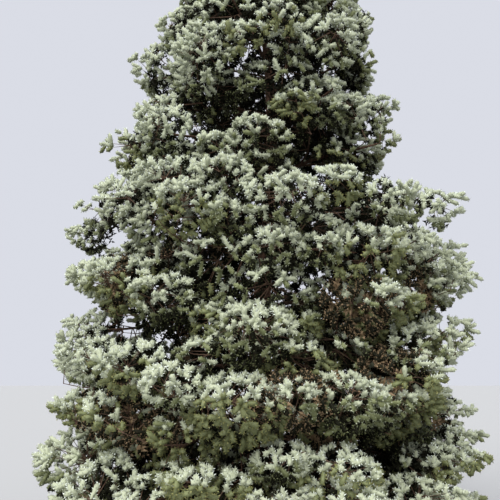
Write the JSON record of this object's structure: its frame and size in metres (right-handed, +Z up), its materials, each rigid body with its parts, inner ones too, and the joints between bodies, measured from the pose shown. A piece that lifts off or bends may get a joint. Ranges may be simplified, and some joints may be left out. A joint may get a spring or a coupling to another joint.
{
  "type": "blue spruce tree",
  "caption": "Young blue spruce with a narrow trunk, layered drooping boughs and a dense conical crown of grey-blue needles, rooted in level ground.",
  "frame": {"origin": "middle of the trunk's flat cut at ground level", "axes": "+Z up along the trunk, -Y towards the viewer of the picture, +X to the viewer's right"},
  "size_m": [4.0366, 4.0792, 7],
  "materials": {
    "bark": "rough, scaly, matt",
    "limb_bark": "rough, matt",
    "needles": "matt, waxy grey-blue bloom"
  },
  "bodies": {
    "root": {"trunk": "bark", "bough_4_front": "limb_bark", "bough_5_back_right": "limb_bark", "bough_6_back_left": "limb_bark", "bough_7_front_left": "limb_bark", "bough_8_right": "limb_bark", "bough_9_back": "limb_bark", "bough_10_front_left": "limb_bark", "bough_11_front_right": "limb_bark", "bough_12_back": "limb_bark", "bough_13_left": "limb_bark", "bough_14_front_right": "limb_bark", "bough_15_back_right": "limb_bark", "bough_16_left": "limb_bark", "bough_17_front": "limb_bark", "bough_18_back_right": "limb_bark", "bough_19_back_left": "limb_bark", "bough_20_front_left": "limb_bark", "bough_21_right": "limb_bark", "bough_22_back": "limb_bark", "needles_1_front_right": "needles", "needles_2_back_right": "needles", "needles_3_left": "needles", "needles_4_front": "needles", "needles_5_back_right": "needles", "needles_6_back_left": "needles", "needles_7_front_left": "needles", "needles_8_right": "needles", "needles_9_back": "needles", "needles_10_front_left": "needles", "needles_11_front_right": "needles", "needles_12_back": "needles", "needles_13_left": "needles", "needles_14_front_right": "needles", "needles_15_back_right": "needles", "needles_16_left": "needles", "needles_17_front": "needles", "needles_18_back_right": "needles", "needles_19_back_left": "needles", "needles_20_front_left": "needles", "needles_21_right": "needles", "needles_22_back": "needles", "needles_23_front_left": "needles", "needles_24_front_right": "needles", "needles_25_back": "needles", "needles_26_left": "needles", "needles_27_front_right": "needles", "needles_28_back_right": "needles", "needles_29_left": "needles", "needles_30_front": "needles", "needles_31_back_right": "needles", "needles_32_back_left": "needles", "needles_33_front_left": "needles", "needles_34_right": "needles", "needles_35_back": "needles", "needles_36_front_left": "needles", "needles_37_front_right": "needles", "needles_38_back": "needles", "needles_39_left": "needles", "needles_leader": "needles"}
  },
  "joints": []
}
